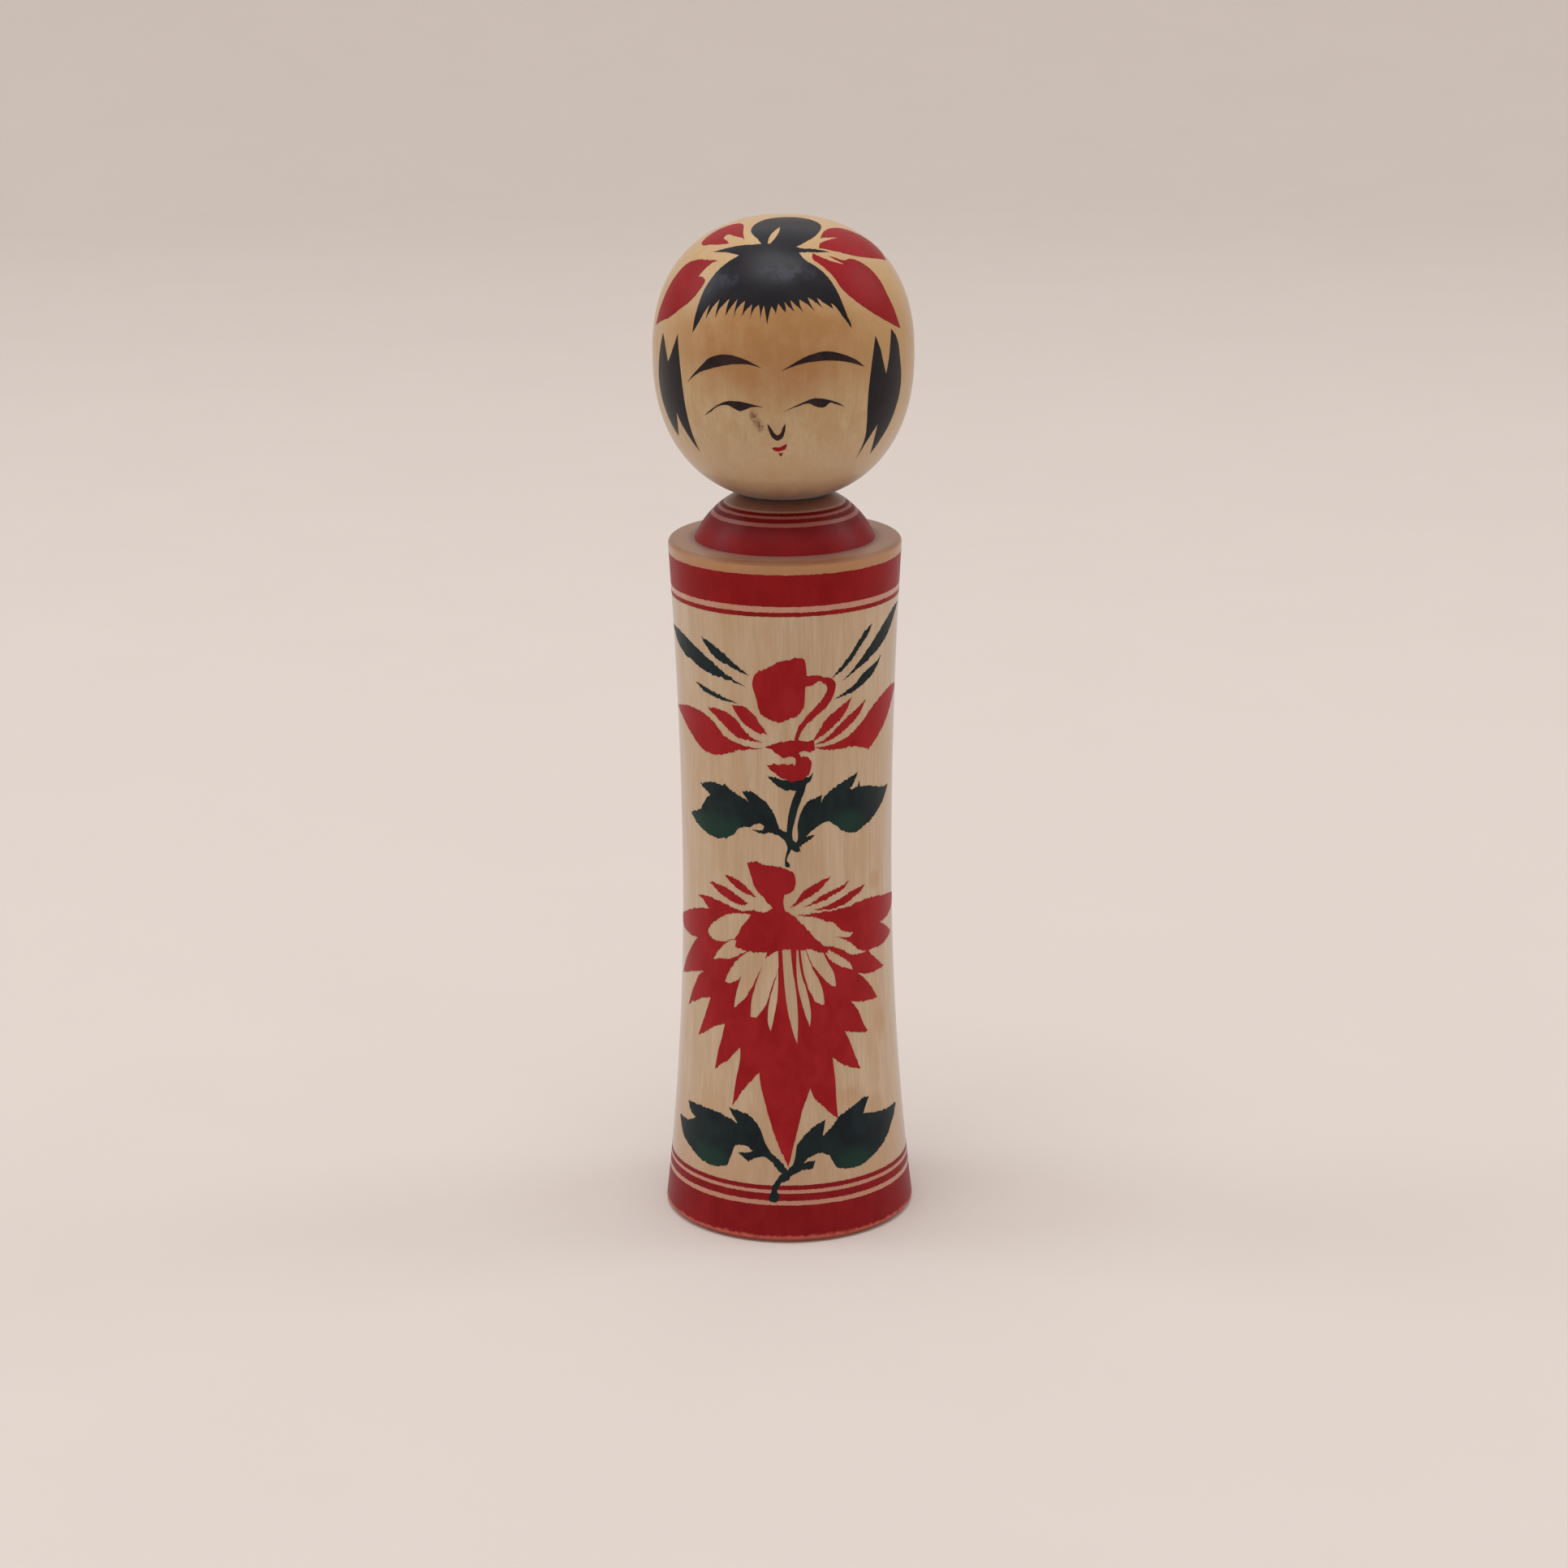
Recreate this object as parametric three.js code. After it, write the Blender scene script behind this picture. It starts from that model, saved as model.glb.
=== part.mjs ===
// A wooden kokeshi doll, turned on a lathe from two blanks: a body with a stepped, domed
// shoulder, and a head with its neck tenon in one piece. The tenon ends in a slight bulb that
// is forced into an undercut socket in the shoulder, so the head turns stiffly about the
// upright axis and can't be pulled out.
//
// Millimetres, +Z up. The origin is the centre of the foot, and the face looks along -Y.

import * as THREE from 'three';

// Driving dimensions
const TOTAL_HEIGHT = 182; // six sun, a standard doll height
const SEGMENTS = 64; // flats around each turned piece

// Body: a waisted cylinder with a small chamfer at the foot
const BASE_RADIUS = 22.85; // where the flare would meet the table without the chamfer
const WAIST_RADIUS = 18.95;
const WAIST_HEIGHT = 65.7;
const SHOULDER_RADIUS = 20.74;
const LEDGE_HEIGHT = 125.5; // flat step around the dome
const FOOT_CHAMFER = 0.9;
const RIM_ROUNDING = 0.9; // rounded outer edge of the ledge
const SIDE_STEPS = 18;
const RIM_STEPS = 3;

// Shoulder dome: part of a circle whose centre stands a little off the axis
const DOME_ARC_RADIUS = 15.87;
const DOME_CENTRE_RADIUS = 1.5;
const DOME_CENTRE_HEIGHT = 119.1;
const DOME_STEPS = 8;

// Head: a rounded barrel, fuller at the cheeks than a ball
const HEAD_RADIUS = 22.86;
const HEAD_WIDEST_HEIGHT = 158.2;
const CROWN_HEIGHT = TOTAL_HEIGHT - HEAD_WIDEST_HEIGHT;
const CROWN_FULLNESS = 2.3; // 2 is an ellipse, more is squarer
const JAW_DEPTH = 25.67;
const JAW_FULLNESS = 2.25;
const SEAT_RADIUS = 8.3; // flat under the head that rests on the dome
const CROWN_STEPS = 14;
const JAW_STEPS = 13;

// Neck joint
const SEAT_GAP = 0.3; // head above the dome
const NECK_RADIUS = 6;
const BULB_SWELLING = 0.4; // what holds the tenon in its socket
const RUNNING_CLEARANCE = 0.1; // around the tenon
const NECK_LENGTH = 5.9;
const BULB_SLOPE = 1; // height over which the neck swells to the bulb
const BULB_LENGTH = 8.4;
const TENON_CHAMFER = 1;
const SOCKET_END_GAP = 0.6;
const SHOULDER_GAP = 0.5; // bulb below the socket's undercut
const SOCKET_LEAD_IN = 0.3;

// Radius of the body's side at a height: two parabolas that meet at the waist.
function bodyRadius(height) {
  const lower = height < WAIST_HEIGHT;
  const span = lower ? WAIST_HEIGHT : LEDGE_HEIGHT - WAIST_HEIGHT;
  const flare = (lower ? BASE_RADIUS : SHOULDER_RADIUS) - WAIST_RADIUS;
  return WAIST_RADIUS + flare * ((height - WAIST_HEIGHT) / span) ** 2;
}

// Points of the head: a quarter superellipse, from its widest ring at angle 0 to the axis at a right
// angle. A negative rise points down.
function headPoint(rise, fullness, angle) {
  const across = HEAD_RADIUS * Math.cos(angle) ** (2 / fullness);
  const up = rise * Math.sin(angle) ** (2 / fullness);
  return new THREE.Vector2(across, HEAD_WIDEST_HEIGHT + up);
}

// Evenly spaced values from start to end, both included.
function steps(start, end, count) {
  return Array.from({ length: count + 1 }, (_, i) => start + ((end - start) * i) / count);
}

// Where the jaw reaches the seat's radius
const SEAT_ANGLE = Math.acos((SEAT_RADIUS / HEAD_RADIUS) ** (JAW_FULLNESS / 2));
const SEAT_HEIGHT = headPoint(-JAW_DEPTH, JAW_FULLNESS, SEAT_ANGLE).y;
const DOME_TOP = SEAT_HEIGHT - SEAT_GAP;
const BULB_TOP = SEAT_HEIGHT - NECK_LENGTH;
const TENON_END = BULB_TOP - BULB_SLOPE - BULB_LENGTH;

function footOutline() {
  return [
    new THREE.Vector2(0, 0),
    new THREE.Vector2(bodyRadius(FOOT_CHAMFER) - FOOT_CHAMFER, 0),
  ];
}

function sideOutline() {
  return steps(FOOT_CHAMFER, LEDGE_HEIGHT - RIM_ROUNDING, SIDE_STEPS).map(
    (height) => new THREE.Vector2(bodyRadius(height), height),
  );
}

function rimOutline() {
  const rimHeight = LEDGE_HEIGHT - RIM_ROUNDING;
  const centre = bodyRadius(rimHeight) - RIM_ROUNDING;
  return steps(0, Math.PI / 2, RIM_STEPS).slice(1).map(
    (angle) => new THREE.Vector2(
      centre + RIM_ROUNDING * Math.cos(angle),
      rimHeight + RIM_ROUNDING * Math.sin(angle),
    ),
  );
}

function domeOutline() {
  const start = Math.asin((LEDGE_HEIGHT - DOME_CENTRE_HEIGHT) / DOME_ARC_RADIUS);
  const end = Math.asin((DOME_TOP - DOME_CENTRE_HEIGHT) / DOME_ARC_RADIUS);
  return steps(start, end, DOME_STEPS).map(
    (angle) => new THREE.Vector2(
      DOME_CENTRE_RADIUS + DOME_ARC_RADIUS * Math.cos(angle),
      DOME_CENTRE_HEIGHT + DOME_ARC_RADIUS * Math.sin(angle),
    ),
  );
}

// From the mouth in the dome's flat top down to the centre of the socket's floor.
function socketOutline() {
  const throat = NECK_RADIUS + RUNNING_CLEARANCE;
  const chamber = throat + BULB_SWELLING;
  const undercut = BULB_TOP + SHOULDER_GAP;
  const floor = TENON_END - SOCKET_END_GAP;
  return [
    new THREE.Vector2(throat + SOCKET_LEAD_IN, DOME_TOP),
    new THREE.Vector2(throat, DOME_TOP - SOCKET_LEAD_IN),
    new THREE.Vector2(throat, undercut),
    new THREE.Vector2(chamber, undercut - BULB_SLOPE),
    new THREE.Vector2(chamber, floor),
    new THREE.Vector2(0, floor),
  ];
}

// From the centre of the tenon's end up to the inner edge of the seat.
function tenonOutline() {
  const bulb = NECK_RADIUS + BULB_SWELLING;
  return [
    new THREE.Vector2(0, TENON_END),
    new THREE.Vector2(bulb - TENON_CHAMFER, TENON_END),
    new THREE.Vector2(bulb, TENON_END + TENON_CHAMFER),
    new THREE.Vector2(bulb, BULB_TOP - BULB_SLOPE),
    new THREE.Vector2(NECK_RADIUS, BULB_TOP),
    new THREE.Vector2(NECK_RADIUS, SEAT_HEIGHT),
  ];
}

function jawOutline() {
  return steps(SEAT_ANGLE, 0, JAW_STEPS).map(
    (angle) => headPoint(-JAW_DEPTH, JAW_FULLNESS, angle),
  );
}

function crownOutline() {
  const rings = steps(0, Math.PI / 2, CROWN_STEPS).slice(1, -1).map(
    (angle) => headPoint(CROWN_HEIGHT, CROWN_FULLNESS, angle),
  );
  return [...rings, new THREE.Vector2(0, TOTAL_HEIGHT)];
}

// Turns an outline, given from the foot upwards, about the Z axis.
function turnedPiece(name, outline, colour) {
  const geometry = new THREE.LatheGeometry(outline, SEGMENTS);
  geometry.rotateX(Math.PI / 2);
  const material = new THREE.MeshStandardMaterial({ color: colour, roughness: 0.5, metalness: 0 });
  const mesh = new THREE.Mesh(geometry, material);
  mesh.name = name;
  return mesh;
}

const doll = new THREE.Group();
doll.add(turnedPiece(
  'body',
  [...footOutline(), ...sideOutline(), ...rimOutline(), ...domeOutline(), ...socketOutline()],
  '#dcc3a0',
));
doll.add(turnedPiece(
  'head',
  [...tenonOutline(), ...jawOutline(), ...crownOutline()],
  '#d2a96c',
));

export default doll;
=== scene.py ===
import math

import bpy
import numpy as np
from mathutils import Matrix, Vector, noise
from mathutils.geometry import delaunay_2d_cdt


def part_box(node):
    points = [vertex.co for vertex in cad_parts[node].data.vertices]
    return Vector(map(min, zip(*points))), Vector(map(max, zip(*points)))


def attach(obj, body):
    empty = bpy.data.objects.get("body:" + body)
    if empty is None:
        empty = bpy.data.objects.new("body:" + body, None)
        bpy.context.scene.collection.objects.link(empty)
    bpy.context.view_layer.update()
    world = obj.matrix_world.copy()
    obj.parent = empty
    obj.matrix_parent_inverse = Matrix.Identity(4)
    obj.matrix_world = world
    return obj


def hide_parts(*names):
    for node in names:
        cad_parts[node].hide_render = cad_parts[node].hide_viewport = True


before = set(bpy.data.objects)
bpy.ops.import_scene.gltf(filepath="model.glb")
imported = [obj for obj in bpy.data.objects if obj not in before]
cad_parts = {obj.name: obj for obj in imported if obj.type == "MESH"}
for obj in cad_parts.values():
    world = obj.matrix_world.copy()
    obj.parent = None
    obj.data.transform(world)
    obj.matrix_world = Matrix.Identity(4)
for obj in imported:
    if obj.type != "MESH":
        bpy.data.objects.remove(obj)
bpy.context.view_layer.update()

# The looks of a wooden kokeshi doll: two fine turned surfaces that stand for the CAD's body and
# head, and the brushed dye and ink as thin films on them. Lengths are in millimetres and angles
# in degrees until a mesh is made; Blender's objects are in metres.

MM = 0.001

# Turned shape, the same as the CAD's. What the boxes give is taken from them.
BODY_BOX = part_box("body")
HEAD_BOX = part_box("head")
TOTAL_HEIGHT = HEAD_BOX[1].z / MM
DOME_TOP = BODY_BOX[1].z / MM
TENON_END = HEAD_BOX[0].z / MM
HEAD_RADIUS = HEAD_BOX[1].x / MM
BASE_RADIUS = 22.85
WAIST_RADIUS = 18.95
WAIST_HEIGHT = 65.7
SHOULDER_RADIUS = 20.74
LEDGE_HEIGHT = 125.5
FOOT_CHAMFER = 0.9
RIM_ROUNDING = 0.9
DOME_ARC_RADIUS = 15.87
DOME_CENTRE_RADIUS = 1.5
DOME_CENTRE_HEIGHT = 119.1
HEAD_WIDEST_HEIGHT = 158.2
CROWN_HEIGHT = TOTAL_HEIGHT - HEAD_WIDEST_HEIGHT
CROWN_FULLNESS = 2.3
JAW_DEPTH = 25.67
JAW_FULLNESS = 2.25
SEAT_RADIUS = 8.3
NECK_RADIUS = 6
BULB_RADIUS = 6.4
BULB_SLOPE = 1
BULB_LENGTH = 8.4
TENON_CHAMFER = 1
RUNNING_CLEARANCE = 0.1
SOCKET_END_GAP = 0.6
SHOULDER_GAP = 0.5
SOCKET_LEAD_IN = 0.3

# Fine surfaces
SEGMENTS = 256            # around each turned piece
ROW_HEIGHT = 0.8          # between rings of vertices
WOOD_INSET = 0.04         # bare wood below the CAD's surface, so that paint lies on it
RING_TOP = 0.02           # outer face of the painted rings below the CAD's surface
UNDER_TOP = 0.015         # outer face of brushwork that lies over the rings
OVER_TOP = 0.01           # outer face of brushwork that lies over other brushwork
FILM_BOTTOM = 0.12        # inner face of all paint, in the wood
RELIEF = 0.02             # depth of the fibres and of the tool's marks
FILM_CELL = 0.5           # between points inside a painted area
BRUSH_STEP = 0.16         # between points along a painted edge
BODY_BLEED = 0.28         # how far dye creeps along the fibres at an edge
HEAD_BLEED = 0.12
FACE_BLEED = 0.06
FIBRE_WIDTH = 0.3         # of the fibres that the dye follows
FIBRE_LENGTH = 2.5
BUNDLE_WIDTH = 0.9        # of the bundles that the fibres lie in
BUNDLE_LENGTH = 4
RING_COLUMNS = 720        # around a painted ring
RING_RAGGED = 0.1         # short waves along a ring's edge
RING_DRIFT = 0.08         # long waves along it

# Camera, with its place measured from the centre of the foot
CAMERA_PLACE = (-0.46, -653.05, 275.16)
CAMERA_PITCH = 16.66      # down
CAMERA_ROLL = -0.427
CAMERA_LENS = 86.89
SENSOR_WIDTH = 36


# ---------------------------------------------------------------- surfaces


def around(angle, radius, height):
    """A vector given by its angle from straight ahead (-Y) towards +X."""
    turn = math.radians(angle)
    return Vector((radius * math.sin(turn), -radius * math.cos(turn), height))


def body_radius(height):
    """Radius of the body's side: two parabolas that meet at the waist."""
    lower = height < WAIST_HEIGHT
    span = WAIST_HEIGHT if lower else LEDGE_HEIGHT - WAIST_HEIGHT
    flare = (BASE_RADIUS if lower else SHOULDER_RADIUS) - WAIST_RADIUS
    return WAIST_RADIUS + flare * ((height - WAIST_HEIGHT) / span) ** 2


def body_side(angle, height):
    """Point and outward direction on the body's side."""
    step = 0.01
    slope = (body_radius(height + step) - body_radius(height - step)) / (2 * step)
    return around(angle, body_radius(height), height), around(angle, 1, -slope).normalized()


def foot_chamfer(angle, height):
    """Point and outward direction on the sloping edge of the foot."""
    radius = body_radius(FOOT_CHAMFER) - FOOT_CHAMFER + height
    return around(angle, radius, height), around(angle, 1, -1).normalized()


def shoulder_dome(angle, arc):
    """Point and outward direction on the dome, arc degrees above its circle's centre."""
    across = math.cos(math.radians(arc))
    up = math.sin(math.radians(arc))
    radius = DOME_CENTRE_RADIUS + DOME_ARC_RADIUS * across
    return around(angle, radius, DOME_CENTRE_HEIGHT + DOME_ARC_RADIUS * up), around(angle, across, up)


def head_along(direction):
    """Point and outward direction where a line from the head's centre meets its surface."""
    across = math.hypot(direction.x, direction.y)
    rise = CROWN_HEIGHT if direction.z >= 0 else JAW_DEPTH
    fullness = CROWN_FULLNESS if direction.z >= 0 else JAW_FULLNESS
    radial = across / HEAD_RADIUS
    upright = abs(direction.z) / rise
    reach = (radial ** fullness + upright ** fullness) ** (-1 / fullness)
    flat = Vector((direction.x, direction.y, 0)).normalized() if across > 0 else Vector()
    normal = flat * ((radial * reach) ** (fullness - 1) / HEAD_RADIUS)
    normal.z = math.copysign((upright * reach) ** (fullness - 1) / rise, direction.z)
    return direction * reach + Vector((0, 0, HEAD_WIDEST_HEIGHT)), normal.normalized()


def head_front(side, pitch):
    """Point on the head, side degrees from the middle of the face and pitch degrees up and over."""
    across = math.cos(math.radians(side))
    turn = math.radians(pitch)
    return head_along(Vector((math.sin(math.radians(side)), -across * math.cos(turn),
                              across * math.sin(turn))))


def head_side(angle, height):
    """Point on the head at an angle about its axis and a height above the floor."""
    up = height - HEAD_WIDEST_HEIGHT
    rise = CROWN_HEIGHT if up >= 0 else JAW_DEPTH
    fullness = CROWN_FULLNESS if up >= 0 else JAW_FULLNESS
    radius = HEAD_RADIUS * (1 - (abs(up) / rise) ** fullness) ** (1 / fullness)
    return head_along(around(angle, radius, up))


def degree_span(radius):
    """Millimetres that one degree spans at a radius."""
    return math.radians(1) * radius


# A chart pairs a surface with the millimetres that one unit of each coordinate spans on it.
BODY_CHART = (body_side, degree_span(20), 1)
HEAD_CHART = (head_front, degree_span(23), degree_span(23))
FACE_CHART = (head_side, degree_span(22), 1)


# ---------------------------------------------------------------- turned wood


def arc_steps(start, end, length):
    """Evenly spaced values from start to end for a stretch of that length."""
    return np.linspace(start, end, max(2, math.ceil(length / ROW_HEIGHT) + 1))


def inset(point, normal):
    """Radius and height of a surface point, moved in to where bare wood lies."""
    moved = point - normal * WOOD_INSET
    return math.hypot(moved.x, moved.y), moved.z


def body_outline():
    """Radius and height along the body, from the middle of the foot to the socket's floor."""
    side_top = LEDGE_HEIGHT - RIM_ROUNDING
    rim_centre = body_radius(side_top) - RIM_ROUNDING
    rim_radius = RIM_ROUNDING - WOOD_INSET
    dome_start = math.degrees(math.asin((LEDGE_HEIGHT - DOME_CENTRE_HEIGHT) / DOME_ARC_RADIUS))
    dome_end = math.degrees(math.asin((DOME_TOP - DOME_CENTRE_HEIGHT) / DOME_ARC_RADIUS))
    throat = NECK_RADIUS + RUNNING_CLEARANCE
    chamber = BULB_RADIUS + RUNNING_CLEARANCE
    bulb_top = TENON_END + BULB_LENGTH + BULB_SLOPE
    floor = TENON_END - SOCKET_END_GAP

    outline = [(0, 0), (inset(*foot_chamfer(0, 0))[0], 0)]
    outline += [inset(*foot_chamfer(0, z)) for z in np.linspace(0.1, FOOT_CHAMFER - 0.05, 4)]
    outline += [inset(*body_side(0, z)) for z in arc_steps(FOOT_CHAMFER + 0.05, side_top, LEDGE_HEIGHT)]
    for turn in np.linspace(0, math.pi / 2, 9)[1:]:
        outline.append((rim_centre + rim_radius * math.cos(turn), side_top + rim_radius * math.sin(turn)))
    outline += [inset(*shoulder_dome(0, arc)) for arc in arc_steps(dome_start, dome_end, DOME_ARC_RADIUS)]
    outline += [
        (throat + SOCKET_LEAD_IN, DOME_TOP - WOOD_INSET),
        (throat, DOME_TOP - SOCKET_LEAD_IN),
        (throat, bulb_top + SHOULDER_GAP),
        (chamber, bulb_top + SHOULDER_GAP - BULB_SLOPE),
        (chamber, floor),
        (0, floor),
    ]
    return outline


def head_outline():
    """Radius and height along the head, from the middle of the tenon's end to the crown."""
    bulb_top = TENON_END + BULB_LENGTH + BULB_SLOPE
    seat_across = SEAT_RADIUS / HEAD_RADIUS
    seat_height = HEAD_WIDEST_HEIGHT - JAW_DEPTH * (1 - seat_across ** JAW_FULLNESS) ** (1 / JAW_FULLNESS)
    seat_pitch = math.degrees(math.atan2(seat_height - HEAD_WIDEST_HEIGHT, SEAT_RADIUS))
    quarter = math.pi / 2 * HEAD_RADIUS

    outline = [
        (0, TENON_END),
        (BULB_RADIUS - TENON_CHAMFER, TENON_END),
        (BULB_RADIUS, TENON_END + TENON_CHAMFER),
        (BULB_RADIUS, bulb_top - BULB_SLOPE),
        (NECK_RADIUS, bulb_top),
        (NECK_RADIUS, seat_height),
    ]
    outline += [inset(*head_front(0, pitch)) for pitch in arc_steps(seat_pitch, 0, quarter)]
    outline += [inset(*head_front(0, pitch)) for pitch in arc_steps(0, 90, quarter)[1:-1]]
    outline.append((0, TOTAL_HEIGHT - WOOD_INSET))
    return outline


def turned_mesh(name, outline):
    """Turns an outline about the Z axis. Its first and last points lie on the axis."""
    rings = outline[1:-1]
    vertices = [Vector((0, 0, outline[0][1])) * MM]
    for radius, height in rings:
        for column in range(SEGMENTS):
            vertices.append(around(360 * column / SEGMENTS, radius, height) * MM)
    vertices.append(Vector((0, 0, outline[-1][1])) * MM)

    last = len(vertices) - 1
    top_ring = 1 + (len(rings) - 1) * SEGMENTS
    faces = []
    for column in range(SEGMENTS):
        beside = (column + 1) % SEGMENTS
        faces.append((0, 1 + beside, 1 + column))
        for row in range(len(rings) - 1):
            low = 1 + row * SEGMENTS
            high = low + SEGMENTS
            faces.append((low + column, low + beside, high + beside, high + column))
        faces.append((last, top_ring + column, top_ring + beside))

    mesh = bpy.data.meshes.new(name)
    mesh.from_pydata(vertices, [], faces)
    mesh.shade_smooth()
    mesh.set_sharp_from_angle(angle=math.radians(25))
    return link(name, mesh)


def link(name, mesh):
    """Puts a mesh in the scene as an object of the same name."""
    piece = bpy.data.objects.new(name, mesh)
    bpy.context.scene.collection.objects.link(piece)
    return piece


# ---------------------------------------------------------------- brushwork


def curve_through(points):
    """A smooth curve through the points, as closely spaced points without the last one."""
    points = np.array(points, float)
    gaps = np.diff(points, axis=0)
    lengths = np.linalg.norm(gaps, axis=1)
    knots = np.concatenate([[0], np.cumsum(lengths)])
    slopes = gaps / lengths[:, None]
    share = (lengths[1:] / (lengths[:-1] + lengths[1:]))[:, None]
    inner = slopes[:-1] * share + slopes[1:] * (1 - share)
    if len(inner):
        first = 1.5 * slopes[0] - 0.5 * inner[0]
        final = 1.5 * slopes[-1] - 0.5 * inner[-1]
    else:
        first = final = slopes[0]
    tangents = np.vstack([first, inner, final])

    count = max(2, math.ceil(knots[-1] / BRUSH_STEP))
    along = np.linspace(0, knots[-1], count, endpoint=False)
    stretch = np.clip(np.searchsorted(knots, along, side="right") - 1, 0, len(lengths) - 1)
    size = lengths[stretch][:, None]
    t = ((along - knots[stretch]) / lengths[stretch])[:, None]
    start_pull = (t ** 3 - 2 * t ** 2 + t) * size * tangents[stretch]
    end_pull = (t ** 3 - t ** 2) * size * tangents[stretch + 1]
    ease = 3 * t ** 2 - 2 * t ** 3
    return points[stretch] * (1 - ease) + points[stretch + 1] * ease + start_pull + end_pull


def brushed_edge(spans, scale, bleed):
    """Points round an outline. Each span starts at a corner and runs smoothly to the next one's
    start. The dye creeps up and down along the wood's upright fibres."""
    starts = [span[0] for span in spans[1:] + spans[:1]]
    edge = np.vstack([
        curve_through(np.array(span + [start], float) * scale)
        for span, start in zip(spans, starts)
    ])
    for point in edge:
        fine = noise.noise(Vector((point[0] / FIBRE_WIDTH, point[1] / FIBRE_LENGTH, 0)))
        broad = noise.noise(Vector((point[0] / BUNDLE_WIDTH, point[1] / BUNDLE_LENGTH, 9)))
        point[1] += bleed * (fine + 0.6 * broad)
    return edge


def inside(points, edge):
    """For each point, whether it is within the closed edge."""
    x, y = points[:, 0], points[:, 1]
    result = np.zeros(len(points), bool)
    for start, end in zip(edge, np.roll(edge, -1, axis=0)):
        if start[1] == end[1]:
            continue
        crosses = (start[1] > y) != (end[1] > y)
        meeting = start[0] + (y - start[1]) * (end[0] - start[0]) / (end[1] - start[1])
        result ^= crosses & (x < meeting)
    return result


def painted_cells(layers):
    """Vertices and triangles of the painted area. Each layer is (is paint, edge), and a later
    one covers or clears what is under it."""
    points = []
    edges = []
    for _, edge in layers:
        first = len(points)
        points += [Vector(point) for point in edge]
        count = len(edge)
        edges += [(first + i, first + (i + 1) % count) for i in range(count)]
    corners = np.array(points)
    low, high = corners.min(axis=0), corners.max(axis=0)
    for x in np.arange(low[0], high[0], FILM_CELL):
        for y in np.arange(low[1], high[1], FILM_CELL):
            points.append(Vector((x, y)))
    vertices, _, triangles, *_ = delaunay_2d_cdt(points, edges, [], 0, 1e-5)
    vertices = np.array(vertices)
    triangles = np.array([triangle for triangle in triangles if len(triangle) == 3])
    centres = vertices[triangles].mean(axis=1)
    painted = np.zeros(len(triangles), bool)
    for is_paint, edge in layers:
        painted[inside(centres, edge)] = is_paint
    return vertices, triangles[painted]


class Film:
    """Thin closed shells that lie on the wood, gathered into one piece."""

    def __init__(self, top):
        self.top = top
        self.vertices = []
        self.normals = []
        self.faces = []

    def add_shell(self, places, cells):
        """A shell over cells of (point, outward direction) places."""
        first = len(self.vertices)
        count = len(places)
        for depth in (self.top, FILM_BOTTOM):
            for point, normal in places:
                self.vertices.append((point - normal * depth) * MM)
                self.normals.append(normal)
        sides = set()
        for cell in cells:
            self.faces.append([first + corner for corner in cell])
            self.faces.append([first + count + corner for corner in reversed(cell)])
            sides.update(zip(cell, cell[1:] + cell[:1]))
        for start, end in sorted(side for side in sides if side[::-1] not in sides):
            self.faces.append([first + corner for corner in (start, start + count, end + count, end)])

    def add_painting(self, chart, shapes, bleed):
        """A shell over shapes of (is paint, spans), drawn in a chart's coordinates."""
        surface, across, up = chart
        scale = np.array([across, up])
        layers = [(is_paint, brushed_edge(spans, scale, bleed)) for is_paint, spans in shapes]
        vertices, triangles = painted_cells(layers)
        used = np.unique(triangles)
        number = {int(old): new for new, old in enumerate(used)}
        places = [surface(*(vertices[i] / scale)) for i in used]
        self.add_shell(places, [[number[int(i)] for i in triangle] for triangle in triangles])

    def add_ring(self, surface, low, high, span, ragged=1.0):
        """A shell all the way round, between two values of a surface's second coordinate.
        span is how many millimetres one unit of that coordinate is. A path round the noise gives
        many waves where it is wide and a few where it is tight."""
        rows = max(1, math.ceil((high - low) * span / FILM_CELL))
        places = []
        for column in range(RING_COLUMNS):
            angle = 360 * column / RING_COLUMNS
            wide_path = around(angle, 60, 0)
            tight_path = around(angle, 1.3, 0)
            edges = []
            for value in (low, high):
                waves = RING_RAGGED * noise.noise(wide_path + Vector((0, 0, 7 * value)))
                drift = RING_DRIFT * noise.noise(tight_path + Vector((0, 0, 3 * value)))
                edges.append(value + ragged * (waves + drift) / span)
            for row in range(rows + 1):
                share = row / rows
                places.append(surface(angle, edges[0] * (1 - share) + edges[1] * share))
        cells = []
        for column in range(RING_COLUMNS):
            here = column * (rows + 1)
            beside = (column + 1) % RING_COLUMNS * (rows + 1)
            cells += [[here + r, beside + r, beside + r + 1, here + r + 1] for r in range(rows)]
        self.add_shell(places, cells)

    def piece(self, name, body, slot, material):
        """The finished film as an object that rides on a body."""
        mesh = bpy.data.meshes.new(name)
        mesh.from_pydata(self.vertices, [], self.faces)
        mesh.shade_smooth()
        mesh.normals_split_custom_set_from_vertices(self.normals)
        mesh.materials.append(material)
        piece = link(name, mesh)
        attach(piece, body)


# ---------------------------------------------------------------- painted shapes

PAINT = True
BARE = False

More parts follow.
